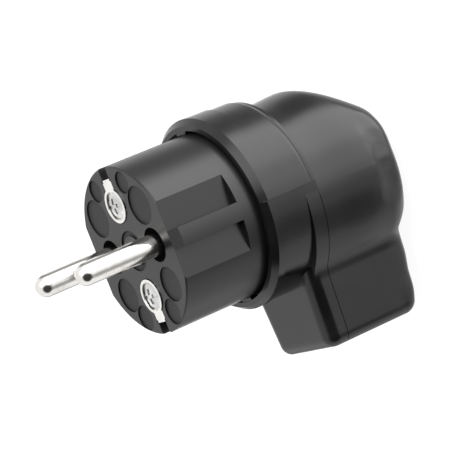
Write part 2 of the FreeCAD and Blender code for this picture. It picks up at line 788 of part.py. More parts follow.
def make_shell():
    """The front shell: collar, shroud, ledge, shoulder and the outlet's front half."""
    collar = make_collar()
    outlet = make_outlet_front()
    body = new_body("front_shell")
    shoulder = new_sketch(body, "shoulder_outline", "XY_Plane", seam)
    draw_circle(shoulder, 2 * dome_radius, 0, -size["dome_drop"])
    pad(body, "shoulder", shoulder, size["shoulder_thickness"])
    combine(body, "with_outlet_front", "Fuse", outlet)
    dress(body, "Fillet", "outlet_creases", size["outlet_fillet"],
          lambda edge: in_crease(edge) and is_upright(edge))
    gap = new_sketch(body, "gap_outline", "XY_Plane", seam)
    draw_circle(gap, 2 * (size["outlet_reach"] + BEYOND))
    pocket(body, "seam_gap", gap, size["seam_gap"], reverse=True)

    bore = collar_bore
    inner = shroud_bore
    lower = shroud_low
    upper = shroud_high
    ledge = ledge_bore
    top = rim_height - size["collar_bevel"]
    ring = new_sketch(body, "shroud_outline", "XZ_Plane")
    draw_outline(ring, [
        (inner, seam), (lower, seam), (lower, top), (bore, top), (bore, ledge_top),
        (ledge, ledge_top), (ledge, ledge_bottom), (inner, ledge_bottom)])
    turn(body, "shroud", ring)
    half = new_sketch(body, "shroud_top_outline", "XZ_Plane")
    rounding = size["shroud_edge"]
    inside = (bore + lower) / 2
    draw_outline(half, [
        (inside, seam), (upper - rounding, seam), (upper, seam + rounding),
        (upper, top), (inside, top)], {1: rounding})
    turn(body, "shroud_top", half, angle=180)
    combine(body, "with_collar", "Fuse", collar)
    parting = new_sketch(body, "parting_outline", "XY_Plane", seam)
    deep = lower - size["parting_depth"]
    far = upper + BEYOND
    for low, high in ((deep, far), (-far, -deep)):
        draw_outline(parting, rectangle(low, -size["parting_width"], high, 0))
    pocket(body, "parting_line", parting, reverse=True)

    key_foot = ledge_top + size["flange_thickness"] + size["key_clearance"]
    keys = new_sketch(body, "key_outline", "XY_Plane", key_foot)
    across = size["key_width"] / 2
    near_side = face_radius + size["key_clearance"]
    far_side = (bore + collar_rim) / 2
    for low, high in ((near_side, far_side), (-far_side, -near_side)):
        draw_outline(keys, rectangle(-across, low, across, high))
    pad(body, "keys", keys, rim_height - size["key_setback"] - key_foot)

    room = new_sketch(body, "room_outline", "XY_Plane", seam)
    draw_circle(room, 2 * inner)
    pocket(body, "room", room, ledge_bottom - seam, reverse=True)
    hollow = new_sketch(body, "outlet_hollow_outline", "XY_Plane", seam)
    draw_outline(hollow, outlet_plan(size["wall"], outlet_start()))
    pocket(body, "outlet_hollow", hollow, outlet_front - seam - size["wall"], reverse=True)
    rebate = new_sketch(body, "lip_rebate_outline", "XY_Plane", seam)
    draw_circle(rebate, 2 * (lip_radius + size["lip_clearance"]), 0, -size["dome_drop"])
    pocket(body, "lip_rebate", rebate, size["lip_height"] + size["lip_clearance"], reverse=True)
    return body


def make_form(label, inset, top, kept=False):
    """The cover's closed form up to a height, with every wall drawn in by an inset."""
    outlet = new_body(label + "_outlet", kept=False)
    sections = []
    for name, distance in (("root", outlet_start()), ("mouth", size["outlet_reach"] - inset)):
        section = new_sketch(outlet, "%s_outlet_%s" % (label, name), "XZ_Plane", distance)
        half = outlet_half(distance, inset)
        draw_outline(section, rectangle(-half, outlet_back(distance) + inset, half, top))
        sections.append(section)
    loft = add_feature(outlet, "AdditiveLoft", label + "_outlet_loft", sections[0])
    loft.Sections = [sections[1]]
    loft.Ruled = True
    end = inset.number - size["outlet_reach"].number
    dress(outlet, "Fillet", label + "_outlet_back_edges", size["outlet_edge"] - inset,
          lambda edge: runs_out(edge) and edge.BoundBox.ZMax < top.number / 2)
    dress(outlet, "Fillet", label + "_outlet_end", end_edge - inset,
          lambda edge: near(middle(edge).y, end) and not is_level(edge, top.number))

    body = new_body(label, kept)
    dome = new_sketch(body, label + "_dome_outline", "XY_Plane", inset)
    draw_circle(dome, 2 * (dome_radius - inset), 0, -size["dome_drop"])
    pad(body, label + "_dome", dome, top - inset)
    crown = new_sketch(body, label + "_crown_outline", "YZ_Plane")
    high = dome_radius - size["dome_drop"]
    slope = (high - size["crown_foot"]) / size["crown_start"]
    foot = size["crown_foot"] - inset * square_root(1 + slope * slope)
    reach = high + BEYOND
    draw_outline(crown, [
        (foot - slope * BEYOND, -BEYOND), (reach, -BEYOND), (reach, (reach - foot) / slope)])
    pocket(body, label + "_crown", crown, side="Symmetric")
    dress(body, "Fillet", label + "_back_edge", size["dome_edge"] - inset,
          lambda edge: edge.BoundBox.ZMax < top.number / 2)
    combine(body, label + "_with_outlet", "Fuse", outlet)
    return body


def make_fixings():
    """The bosses for the housing screws and the posts for the clamp, rooted in the cover's wall."""
    body = new_body("fixings", kept=False)
    bosses = new_sketch(body, "boss_outline", "XY_Plane")
    posts = new_sketch(body, "post_outline", "XY_Plane")
    for place in (screw_place, -screw_place):
        draw_circle(bosses, size["boss_diameter"], 0, place)
    for across in (clamp_across(), -clamp_across()):
        draw_circle(posts, size["clamp_post"], across, -clamp_place)
    pad(body, "bosses", bosses, boss_top)
    pad(body, "clamp_posts", posts, size["cable_height"])
    limit = make_form("fixing_limit", size["wall"] * ROOTED, boss_top + BEYOND)
    combine(body, "fixings_in_wall", "Common", limit)
    return body


def make_cover():
    """The rear cover: dome, outlet, rim, lip, bosses, clamp posts and cable entry."""
    wall = size["wall"]
    body = make_form("rear_cover", as_size(0), seam, kept=True)
    dress(body, "Fillet", "cover_crease", size["outlet_fillet"],
          lambda edge: in_crease(edge) and not is_level(edge, seam.number))
    rim = new_sketch(body, "rim_outline", "XZ_Plane")
    edge = shroud_low - size["rim_step"]
    foot = edge - size["rim_slope_width"]
    inside = dome_radius / 2
    low = seam - size["rim_slope_height"]
    draw_outline(rim, [(inside, low), (foot, low), (edge, seam), (inside, seam)])
    turn(body, "rim", rim)
    lip = new_sketch(body, "lip_outline", "XY_Plane", seam)
    draw_circle(lip, 2 * lip_radius, 0, -size["dome_drop"])
    pad(body, "lip", lip, size["lip_height"])
    core = make_form("cover_core", wall, seam + size["lip_height"] + BEYOND)
    combine(body, "cover_hollow", "Cut", core)

    combine(body, "with_fixings", "Fuse", make_fixings())
    seats = new_sketch(body, "insert_seat_outline", "XY_Plane", boss_top)
    pilots = new_sketch(body, "pilot_outline", "XY_Plane", boss_top)
    for place in (screw_place, -screw_place):
        draw_circle(seats, size["insert_diameter"], 0, place)
        draw_circle(pilots, screw_hole, 0, place)
    pocket(body, "insert_seats", seats, size["insert_length"])
    tip = head_seat - size["housing_screw_length"]
    pocket(body, "boss_pilots", pilots, boss_top - tip + size["spare_depth"])
    cable = size["cable_height"]
    threads = new_sketch(body, "post_hole_outline", "XY_Plane", cable)
    for across in (clamp_across(), -clamp_across()):
        draw_circle(threads, size["clamp_screw_shank"], across, -clamp_place)
    depth = size["clamp_screw_length"] - size["clamp_thickness"] + size["spare_depth"]
    pocket(body, "post_holes", threads, depth)

    entry = new_sketch(body, "entry_outline", "XZ_Plane", size["outlet_reach"] + BEYOND)
    draw_circle(entry, size["cable_bore"], 0, cable)
    pocket(body, "cable_entry", entry, wall + 2 * BEYOND)
    dress(body, "Chamfer", "entry_chamfer", size["cable_chamfer"],
          lambda edge: on_outlet_end(edge) and near(edge.Length, math.pi * size["cable_bore"].number))
    return body


def make_clamp():
    """The strap that holds the cable down, with its arch over the cable."""
    body = new_body("cord_clamp")
    reach = clamp_reach()
    grip = size["cable_diameter"] / 2
    arch = size["clamp_arch"]
    thick = size["clamp_thickness"]
    outer = arch + thick
    drop = square_root(arch * arch - grip * grip)
    shoulder = square_root(outer * outer - (drop + thick) * (drop + thick))
    low = size["cable_height"]
    high = low + thick
    outline = new_sketch(body, "clamp_outline", "XZ_Plane", clamp_place)
    draw_outline(outline, [
        (-reach, low), (-grip, low), (grip, low), (reach, low),
        (reach, high), (shoulder, high), (-shoulder, high), (-reach, high)],
        {1: -arch, 5: outer})
    pad(body, "clamp_strap", outline, size["clamp_width"], side="Symmetric")
    holes = new_sketch(body, "clamp_hole_outline", "XY_Plane", high)
    hole = size["clamp_screw_shank"] + 2 * size["screw_clearance"]
    for across in (clamp_across(), -clamp_across()):
        draw_circle(holes, hole, across, -clamp_place)
    pocket(body, "clamp_holes", holes, thick)
    return body


def make_clamp_screw(label, side):
    """One of the two screws that press the strap on the cable."""
    body = make_screw(label, size["clamp_screw_head"], size["clamp_head_height"],
                      size["clamp_screw_shank"], size["clamp_screw_length"])
    bind(body, "Placement.Base.x", side * clamp_across())
    bind(body, "Placement.Base.y", -clamp_place)
    bind(body, "Placement.Base.z", size["cable_height"] + size["clamp_thickness"])
    return body


carrier = make_carrier()
for label, side in (("left", -1), ("right", 1)):
    make_pin(label + "_pin", side)
    make_terminal(label + "_terminal", side)
    make_terminal_screw(label + "_terminal_screw", side * pin_place, terminal_screw_place(),
                        terminal_top - size["terminal_height"])
for label, side in (("top", 1), ("bottom", -1)):
    make_earth_contact(label + "_earth_contact", side < 0)
    make_housing_screw(label + "_housing_screw", side)
    make_insert(label + "_insert", side)
make_bridge()
make_earth_terminal()
make_terminal_screw("earth_terminal_screw", 0, 0, bridge_bottom - size["earth_block_height"])
make_shell()
make_cover()
make_clamp()
for label, side in (("left", -1), ("right", 1)):
    make_clamp_screw(label + "_clamp_screw", side)

doc.recompute()
faults = []
for item in doc.Objects:
    if "Invalid" in item.State or "Error" in item.State:
        faults.append(item.Label)
for part in PARTS:
    if part.Shape.isNull() or not part.Shape.isValid() or not part.Shape.Solids:
        faults.append(part.Label)
if faults:
    raise RuntimeError("these objects failed: " + ", ".join(sorted(set(faults))))

os.makedirs("parts", exist_ok=True)
for part in PARTS:
    part.Shape.exportStep("parts/%s.step" % part.Label)
    box = part.Shape.BoundBox
    print("%-22s %9.2f mm3  %d solid(s)  z %.2f to %.2f" % (
        part.Label, part.Shape.Volume, len(part.Shape.Solids), box.ZMin, box.ZMax))
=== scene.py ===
"""The angled mains plug as photographed: finishes, reshaped mouldings, studio and camera."""

import json
import logging
import math
from dataclasses import dataclass, field
from enum import Enum
from typing import Callable, Sequence

import bmesh
import bpy
import numpy as np
from mathutils import Matrix, Vector


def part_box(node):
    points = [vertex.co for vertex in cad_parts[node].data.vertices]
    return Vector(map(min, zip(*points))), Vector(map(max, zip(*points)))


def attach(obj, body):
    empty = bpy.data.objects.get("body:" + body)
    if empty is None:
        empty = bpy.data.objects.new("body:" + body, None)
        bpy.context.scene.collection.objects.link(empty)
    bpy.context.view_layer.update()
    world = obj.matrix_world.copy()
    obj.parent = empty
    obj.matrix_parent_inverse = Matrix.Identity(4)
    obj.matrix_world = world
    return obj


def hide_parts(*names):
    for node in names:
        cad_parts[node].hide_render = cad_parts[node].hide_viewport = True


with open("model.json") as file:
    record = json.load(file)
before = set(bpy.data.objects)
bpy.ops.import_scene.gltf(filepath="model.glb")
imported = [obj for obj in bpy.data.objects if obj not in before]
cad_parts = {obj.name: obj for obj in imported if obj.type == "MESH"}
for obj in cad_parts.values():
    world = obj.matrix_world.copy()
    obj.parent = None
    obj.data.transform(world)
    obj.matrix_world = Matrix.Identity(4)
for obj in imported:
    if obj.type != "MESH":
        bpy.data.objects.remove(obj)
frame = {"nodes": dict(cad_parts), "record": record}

LOG = logging.getLogger("plug")
MM = 0.001
BODY = "root"
SHADING = "cad_shading"
WHITE = (1.0, 1.0, 1.0, 1.0)
PLUG_MIDDLE = (0.0, -5.0 * MM, 37.0 * MM)
MERGE_DISTANCE = 0.001 * MM
SLICE_DISTANCE = 0.0001 * MM
BEND_STEP = 0.05 * MM
SHORTEST = 1e-12  # keeps a division by a length of nothing from failing
NOTED_LENGTH = 0.5  # a corner that a cut made has no noted direction, so it is shorter
STEEP = 0.7  # a direction with more X than this is crossed with Y


class Slot(Enum):
    """The record's material slots."""

    PLASTIC = "black_plastic"
    PIN = "nickel_pin"
    CLIP = "nickel_clip"
    SCREW = "zinc_screw"
    BRASS = "brass"


# Small tools for node trees.


def new_material(name: str) -> tuple[bpy.types.Material, bpy.types.Node]:
    """Make a material with an empty principled surface.

    Args:
        name: The finish's name.

    Returns:
        The material and its principled shader node.
    """
    material = bpy.data.materials.new(name)
    material.use_nodes = True
    tree = material.node_tree
    tree.nodes.clear()
    output = tree.nodes.new("ShaderNodeOutputMaterial")
    shader = tree.nodes.new("ShaderNodeBsdfPrincipled")
    tree.links.new(shader.outputs["BSDF"], output.inputs["Surface"])
    return material, shader


def add_node(tree: bpy.types.NodeTree, kind: str, **values: object) -> bpy.types.Node:
    """Add a node and set its properties, or its inputs where it has no such property.

    Args:
        tree: The node tree that gets the node.
        kind: The node's type without the leading ShaderNode.
        values: Property names, or input names with their spaces written as underscores.

    Returns:
        The new node.
    """
    node = tree.nodes.new("ShaderNode" + kind)
    for name, value in values.items():
        if hasattr(node, name):
            setattr(node, name, value)
        else:
            node.inputs[name.replace("_", " ")].default_value = value
    return node


def object_place(tree: bpy.types.NodeTree) -> bpy.types.NodeSocket:
    """The surface point in the plug's own frame, in metres."""
    return add_node(tree, "TexCoord").outputs["Object"]


def mapped(
    tree: bpy.types.NodeTree, place: bpy.types.NodeSocket, scale: Sequence[float]
) -> bpy.types.NodeSocket:
    """Stretch a texture place along each axis.

    Args:
        tree: The node tree.
        place: The place to stretch.
        scale: One factor for each axis.

    Returns:
        The stretched place.
    """
    node = add_node(tree, "Mapping", Scale=tuple(scale))
    tree.links.new(place, node.inputs["Vector"])
    return node.outputs["Vector"]


def noise(
    tree: bpy.types.NodeTree,
    place: bpy.types.NodeSocket,
    size_mm: float,
    detail: float = 2.0,
    roughness: float = 0.5,
) -> bpy.types.NodeSocket:
    """Noise whose grains are about as large as given.

    Args:
        tree: The node tree.
        place: Where the noise is read.
        size_mm: Grain size in millimetres.
        detail: How many finer layers it has.
        roughness: How strong the finer layers are.

    Returns:
        The noise value.
    """
    node = add_node(
        tree, "TexNoise", Scale=1.0 / (size_mm * MM), Detail=detail, Roughness=roughness
    )
    tree.links.new(place, node.inputs["Vector"])
    return node.outputs["Fac"]


def remap(
    tree: bpy.types.NodeTree,
    value: bpy.types.NodeSocket,
    span: tuple[float, float],
    result: tuple[float, float] = (0.0, 1.0),
) -> bpy.types.NodeSocket:
    """Turn one range of values into another, held at both ends.

    Args:
        tree: The node tree.
        value: The value to change.
        span: Start and end of the range read.
        result: What the start and the end become.

    Returns:
        The changed value.
    """
    node = add_node(
        tree,
        "MapRange",
        clamp=True,
        From_Min=span[0],
        From_Max=span[1],
        To_Min=result[0],
        To_Max=result[1],
    )
    tree.links.new(value, node.inputs["Value"])
    return node.outputs["Result"]


def product(
    tree: bpy.types.NodeTree, first: bpy.types.NodeSocket, second: bpy.types.NodeSocket
) -> bpy.types.NodeSocket:
    """Multiply two values.

    Args:
        tree: The node tree.
        first: The first value.
        second: The second value.

    Returns:
        Their product.
    """
    node = add_node(tree, "Math", operation="MULTIPLY")
    tree.links.new(first, node.inputs[0])
    tree.links.new(second, node.inputs[1])
    return node.outputs["Value"]


def blend_colours(
    tree: bpy.types.NodeTree,
    share: bpy.types.NodeSocket,
    first: Sequence[float],
    second: Sequence[float],
) -> bpy.types.NodeSocket:
    """Mix two colours by a share.

    Args:
        tree: The node tree.
        share: How much of the second colour is used.
        first: Colour at share 0.
        second: Colour at share 1.

    Returns:
        The mixed colour.
    """
    node = add_node(tree, "Mix", data_type="RGBA")
    node.inputs["A"].default_value = (*first, 1.0)
    node.inputs["B"].default_value = (*second, 1.0)
    tree.links.new(share, node.inputs["Factor"])
    return node.outputs["Result"]


def bump(
    tree: bpy.types.NodeTree,
    height: bpy.types.NodeSocket,
    depth_mm: float,
    below: bpy.types.NodeSocket | None = None,
) -> bpy.types.NodeSocket:
    """Turn a height into small relief.

    Args:
        tree: The node tree.
        height: The height, from 0 to 1.
        depth_mm: How deep the relief is.
        below: Relief that this one lies on.

    Returns:
        The bent normal.
    """
    node = add_node(tree, "Bump", Strength=1.0, Distance=depth_mm * MM)
    tree.links.new(height, node.inputs["Height"])
    if below is not None:
        tree.links.new(below, node.inputs["Normal"])
    return node.outputs["Normal"]


# Finishes. A span gives the two noise values between which the finish changes.


@dataclass(frozen=True)
class SatinPlastic:
    """Moulded black plastic: a satin sheen, fine grain and faint rubbing."""

    name: str = "satin_plastic"
    colour: tuple[float, float, float] = (0.0045, 0.0045, 0.0048)
    worn_colour: tuple[float, float, float] = (0.008, 0.008, 0.0083)
    worn_span: tuple[float, float] = (0.45, 0.70)
    gloss: tuple[float, float] = (0.16, 0.25)
    gloss_span: tuple[float, float] = (0.35, 0.65)
    grain_mm: float = 0.22
    grain_depth_mm: float = 0.0035
    wave_mm: float = 9.0
    wave_depth_mm: float = 0.010

    def build(self) -> bpy.types.Material:
        """Make the material.

        Returns:
            The finished material.
        """
        material, shader = new_material(self.name)
        tree = material.node_tree
        place = object_place(tree)
        grain = noise(tree, place, self.grain_mm)
        patches = noise(tree, place, self.wave_mm, detail=3.0)
        worn = remap(tree, patches, self.worn_span)
        colour = blend_colours(tree, worn, self.colour, self.worn_colour)
        tree.links.new(colour, shader.inputs["Base Color"])
        gloss = remap(tree, patches, self.gloss_span, self.gloss)
        tree.links.new(gloss, shader.inputs["Roughness"])
        waves = bump(tree, patches, self.wave_depth_mm)
        surface = bump(tree, grain, self.grain_depth_mm, waves)
        tree.links.new(surface, shader.inputs["Normal"])
        return material


@dataclass(frozen=True)
class MarkedPlastic:
    """The front body's plastic: satin, with the moulded marks' floors left rough.

    A floor is told from the plain face by its height, between the thirds of the marks' depth
    given in floor_top and floor_bottom, and by how level it lies.
    """

    face_height: float
    mark_depth: float
    name: str = "marked_plastic"
    colour: tuple[float, float, float] = (0.010, 0.010, 0.0105)
    floor_colour: tuple[float, float, float] = (0.020, 0.020, 0.021)
    floor_top: tuple[float, float] = (1.0, 2.0)
    floor_bottom: tuple[float, float] = (5.0, 4.0)
    level_span: tuple[float, float] = (0.90, 0.98)
    gloss: float = 0.30
    floor_gloss: float = 0.62
    grain_mm: float = 0.25
    grain_depth_mm: float = 0.004
    spark_mm: float = 0.33
    spark_depth_mm: float = 0.11

    def floor_share(
        self, tree: bpy.types.NodeTree, place: bpy.types.NodeSocket
    ) -> bpy.types.NodeSocket:
        """How much a point belongs to a mark's floor.

        Args:
            tree: The finish's node tree.
            place: The point in the plug's own frame.

        Returns:
            The share, from 0 to 1.
        """
        height = add_node(tree, "SeparateXYZ")
        tree.links.new(place, height.inputs[0])
        facing = add_node(tree, "SeparateXYZ")
        tree.links.new(add_node(tree, "NewGeometry").outputs["Normal"], facing.inputs[0])
        third = self.mark_depth / 3
        bands = [
            remap(
                tree,
                height.outputs["Z"],
                (self.face_height - start * third, self.face_height - end * third),
            )
            for start, end in (self.floor_top, self.floor_bottom)
        ]
        level = remap(tree, facing.outputs["Z"], self.level_span)
        return product(tree, product(tree, *bands), level)

    def build(self) -> bpy.types.Material:
        """Make the material.

        Returns:
            The finished material.
        """
        material, shader = new_material(self.name)
        tree = material.node_tree
        place = object_place(tree)
        floor = self.floor_share(tree, place)
        colour = blend_colours(tree, floor, self.colour, self.floor_colour)
        tree.links.new(colour, shader.inputs["Base Color"])
        gloss = remap(tree, floor, (0.0, 1.0), (self.gloss, self.floor_gloss))
        tree.links.new(gloss, shader.inputs["Roughness"])
        sparks = noise(tree, place, self.spark_mm, detail=3.0, roughness=0.7)
        eroded = bump(tree, product(tree, sparks, floor), self.spark_depth_mm)
        surface = bump(tree, noise(tree, place, self.grain_mm), self.grain_depth_mm, eroded)
        tree.links.new(surface, shader.inputs["Normal"])
        return material


@dataclass(frozen=True)
class PlatedMetal:
    """Nickel or zinc plated metal with fine turning or rolling lines."""

    name: str
    colour: tuple[float, float, float]
    dull_colour: tuple[float, float, float]
    gloss: tuple[float, float]
    line_mm: tuple[float, float, float]
    line_depth_mm: float
    patch_mm: float = 3.0
    dull_span: tuple[float, float] = (0.42, 0.68)
    gloss_span: tuple[float, float] = (0.35, 0.70)

    def build(self) -> bpy.types.Material:
        """Make the material.

        Returns:
            The finished material.
        """
        material, shader = new_material(self.name)
        tree = material.node_tree
        place = object_place(tree)
        scale = [1.0 / (size * MM) for size in self.line_mm]
        lines = add_node(tree, "TexNoise", Scale=1.0, Detail=2.0, Roughness=0.6)
        tree.links.new(mapped(tree, place, scale), lines.inputs["Vector"])
        patches = noise(tree, place, self.patch_mm, detail=4.0, roughness=0.6)
        dull = remap(tree, patches, self.dull_span)
        colour = blend_colours(tree, dull, self.colour, self.dull_colour)
        tree.links.new(colour, shader.inputs["Base Color"])
        gloss = remap(tree, patches, self.gloss_span, self.gloss)
        tree.links.new(gloss, shader.inputs["Roughness"])
        shader.inputs["Metallic"].default_value = 1.0
        surface = bump(tree, lines.outputs["Fac"], self.line_depth_mm)
        tree.links.new(surface, shader.inputs["Normal"])
        return material


PIN_NICKEL = PlatedMetal(
    "pin_nickel",
    colour=(0.93, 0.91, 0.88),
    dull_colour=(0.78, 0.75, 0.71),
    gloss=(0.13, 0.24),
    line_mm=(3.0, 3.0, 0.12),
    line_depth_mm=0.0016,
)
CLIP_NICKEL = PlatedMetal(
    "clip_nickel",
    colour=(0.97, 0.96, 0.94),
    dull_colour=(0.86, 0.84, 0.80),
    gloss=(0.16, 0.30),
    line_mm=(0.25, 2.0, 2.0),
    line_depth_mm=0.003,
)
SCREW_ZINC = PlatedMetal(
    "screw_zinc",
    colour=(0.80, 0.80, 0.80),
    dull_colour=(0.58, 0.58, 0.57),
    gloss=(0.22, 0.36),
    line_mm=(0.4, 0.4, 0.15),
    line_depth_mm=0.004,
)
TURNED_BRASS = PlatedMetal(
    "turned_brass",
    colour=(0.80, 0.62, 0.28),
    dull_colour=(0.62, 0.45, 0.18),
    gloss=(0.20, 0.34),
    line_mm=(0.3, 2.0, 2.0),
    line_depth_mm=0.003,
)


def dress(slot: Slot, material: bpy.types.Material) -> None:
    """Give a finish to every CAD node of one slot.

    Args:
        slot: The record's slot.
        material: The slot's finish.
    """
    for part in frame["record"]["subparts"]:
        if part["material_slot"] != slot.value:
            continue
        for item in frame["nodes"][part["node"]].material_slots:
            item.material = material
        LOG.info("dressed %s with %s", part["node"], material.name)


# Pieces that stand for a CAD node and keep its smooth shading.


def copied_node(node: str, name: str) -> bpy.types.Object:
    """Copy a CAD node and note its shading directions at every corner.

    Args:
        node: The node to copy.
        name: The new piece's name.

    Returns:
        The new piece.
    """
    mesh = frame["nodes"][node].data.copy()
    mesh.name = name
    note = mesh.attributes.new(SHADING, "FLOAT_VECTOR", "CORNER")
    for corner, facing in zip(note.data, mesh.corner_normals):
        corner.vector = facing.vector
    mesh.materials.clear()
    piece = bpy.data.objects.new(name, mesh)
    bpy.context.scene.collection.objects.link(piece)
    return piece


def merge_points(mesh: bpy.types.Mesh, levels: Sequence[float] = ()) -> None:
    """Close the mesh where faces meet and slice it at heights, so that it can bend between them.

    Args:
        mesh: The mesh to change.
        levels: The heights of the slices.
    """
    work = bmesh.new()
    work.from_mesh(mesh)
    bmesh.ops.remove_doubles(work, verts=work.verts, dist=MERGE_DISTANCE)
    for level in levels:
        bmesh.ops.bisect_plane(
            work,
            geom=list(work.verts) + list(work.edges) + list(work.faces),
            plane_co=(0, 0, level),
            plane_no=(0, 0, 1),
            dist=SLICE_DISTANCE,
        )
    work.to_mesh(mesh)
    work.free()


def read_values(
    items: bpy.types.bpy_prop_collection, name: str, width: int, kind: type = np.float64
) -> np.ndarray:
    """Read one value of every item in a collection.

    Args:
        items: The collection, such as a mesh's vertices.
        name: The value's name.
        width: How many numbers one value has.
        kind: The numbers' kind.

    Returns:
        One row for each item, or one number where the width is 1.
    """
    values = np.empty(len(items) * width, kind)
    items.foreach_get(name, values)
    return values.reshape(-1, width) if width > 1 else values


def lengths(rows: np.ndarray) -> np.ndarray:
    """The length of every row, in a column."""
    return np.linalg.norm(rows, axis=1, keepdims=True)


def unit(rows: np.ndarray) -> np.ndarray:
    """Scale every row to length 1."""
    return rows / np.maximum(lengths(rows), SHORTEST)


def blend_shading(facing: np.ndarray, points: np.ndarray, limit: float) -> np.ndarray:
    """Blend the shading at each point between faces that meet at a small angle.

    Args:
        facing: The shading direction of every corner.
        points: The number of every corner's point.
        limit: The largest angle that is blended, in radians.

    Returns:
        The blended directions.
    """
    blended = facing.copy()
    order = np.argsort(points, kind="stable")
    starts = np.flatnonzero(np.diff(points[order], prepend=-1))
    for corners in np.split(order, starts[1:]):
        near = facing[corners] @ facing[corners].T > math.cos(limit)
        blended[corners] = near @ facing[corners]
    return unit(blended)


def noted_shading(mesh: bpy.types.Mesh) -> np.ndarray:
    """The noted shading direction of every corner, or its face's own where none was noted.

    Args:
        mesh: The mesh to read.

    Returns:
        One direction for each corner.
    """
    sizes = read_values(mesh.polygons, "loop_total", 1, np.int32)
    flat = np.repeat(read_values(mesh.polygons, "normal", 3), sizes, axis=0)
    noted = read_values(mesh.attributes[SHADING].data, "vector", 3)
    return np.where(lengths(noted) > NOTED_LENGTH, unit(noted), flat)


def reshape(
    mesh: bpy.types.Mesh, bend: Callable[[np.ndarray], np.ndarray], soft: float = 0.0
) -> None:
    """Move every point by a smooth rule and turn the shading with the surface.

    Args:
        mesh: The mesh to change.
        bend: Gives the points' new places.
        soft: Creases up to this angle are shaded as smooth, in radians.
    """
    places = read_values(mesh.vertices, "co", 3)
    numbers = read_values(mesh.loops, "vertex_index", 1, np.int32)
    points = places[numbers]
    facing = noted_shading(mesh)
    helper = np.where(np.abs(facing[:, :1]) < STEEP, (1.0, 0.0, 0.0), (0.0, 1.0, 0.0))
    across = unit(np.cross(facing, helper))
    along = np.cross(facing, across)
    here = bend(points)
    side = bend(points + across * BEND_STEP) - here
    ahead = bend(points + along * BEND_STEP) - here
    mesh.vertices.foreach_set("co", bend(places).ravel())
    facing = unit(np.cross(side, ahead))
    if soft:
        facing = blend_shading(facing, numbers, soft)
    mesh.normals_split_custom_set(facing.tolist())


def stand_in(
    piece: bpy.types.Object, node: str, material: bpy.types.Material
) -> None:
    """Let a piece take a CAD node's place in the picture.

    Args:
        piece: The piece.
        node: The node that it stands for.
        material: Its finish.
    """
    piece.data.materials.append(material)
    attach(piece, BODY)
    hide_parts(node)
    LOG.info("%s stands for %s", piece.name, node)


def fade(distance: np.ndarray, reach: float) -> np.ndarray:
    """A smooth share that falls from 1 at no distance to 0 at the reach."""
    share = np.clip(1.0 - np.abs(distance) / reach, 0.0, 1.0)
    return share * share * (3.0 - 2.0 * share)


@dataclass(frozen=True)
class Swell:
    """A soft local move of the surface, alike on both sides of the mid-plane. Millimetres."""

    place: tuple[float, float, float]
    reach: float
    move: tuple[float, float, float]

    def shift(self, points: np.ndarray) -> np.ndarray:
        """How far the swell moves each point.

        Args:
            points: The points before the move, in metres.

        Returns:
            The moves, in metres.
        """
        total = np.zeros_like(points)
        for side in (1.0, -1.0):
            mirror = np.array((side, 1.0, 1.0))
            distance = np.linalg.norm(points - np.array(self.place) * MM * mirror, axis=1)
            share = fade(distance, self.reach * MM)[:, None]
            total += share * np.array(self.move) * MM * mirror
        return total


@dataclass
class RearCover:
    """The rear cover: its dome is a little barrel-shaped and its corners are fuller than arcs."""

    finish: bpy.types.Material
    slice_height: float = 0.8 * MM
    soft_crease: float = math.radians(14)
    dome_middle: tuple[float, float] = (0.0, -1.8 * MM)
    belly_height: float = 11.0 * MM
    belly_reach: float = 9.0 * MM
    belly: float = 0.42 * MM
    outlet_start: float = -12.0 * MM
    outlet_fade: float = 6.0 * MM
    swells: tuple[Swell, ...] = (
        Swell((11.5, -17.0, 2.2), 6.0, (-0.30, 0.0, 0.45)),
        Swell((16.8, 4.5, 1.0), 6.0, (0.55, 0.15, -0.10)),
        Swell((10.2, -29.8, 4.2), 5.0, (0.40, 0.0, -0.25)),
    )
    thumb_hollow: tuple[Swell, ...] = (
        Swell((17.4, 5.2, 5.4), 4.0, (-0.60, -0.25, 0.0)),
        Swell((19.4, 2.2, 5.4), 4.0, (-0.64, -0.13, 0.0)),
        Swell((20.4, -1.2, 5.4), 4.0, (-0.65, 0.0, 0.0)),
        Swell((20.3, -4.6, 5.3), 4.0, (-0.64, 0.12, 0.0)),
        Swell((19.0, -7.8, 5.2), 4.0, (-0.58, 0.24, 0.0)),
    )

    def bend(self, points: np.ndarray) -> np.ndarray:
        """Where the points of the plain cover go.

        Args:
            points: The points on the plain cover.

        Returns:
            The points on the reshaped one.
        """
        out = unit((points - (*self.dome_middle, 0.0)) * (1.0, 1.0, 0.0))
        past = np.maximum(points[:, 1] - self.outlet_start + self.outlet_fade, 0.0)
        belt = fade(points[:, 2] - self.belly_height, self.belly_reach)
        share = belt * (1.0 - fade(past, self.outlet_fade))
        moved = points + out * (self.belly * share)[:, None]
        for swell in self.swells + self.thumb_hollow:
            moved = moved + swell.shift(points)
        return moved

    def build(self) -> None:
        """Make the piece and let it stand for the node."""
        piece = copied_node("rear_cover", "dome_cover")
        low, high = (corner.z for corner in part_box("rear_cover"))
        count = int((high - low) / self.slice_height)
        levels = [low + self.slice_height * (place + 0.5) for place in range(count)]
        merge_points(piece.data, levels)
        reshape(piece.data, self.bend, self.soft_crease)
        stand_in(piece, "rear_cover", self.finish)


@dataclass
class Housing:
    """The moulded shell and cover, and the strap inside the outlet."""

    finish: SatinPlastic = field(default_factory=SatinPlastic)

    def build(self) -> None:
        """Dress the mouldings and reshape the cover."""
        material = self.finish.build()
        dress(Slot.PLASTIC, material)
        RearCover(material).build()


@dataclass(frozen=True)
class FaceMark:
    """A round mark in the face, or a ring where it has an inner diameter. Millimetres."""

    diameter: float
    across: float
    up: float
    inner: float = 0.0


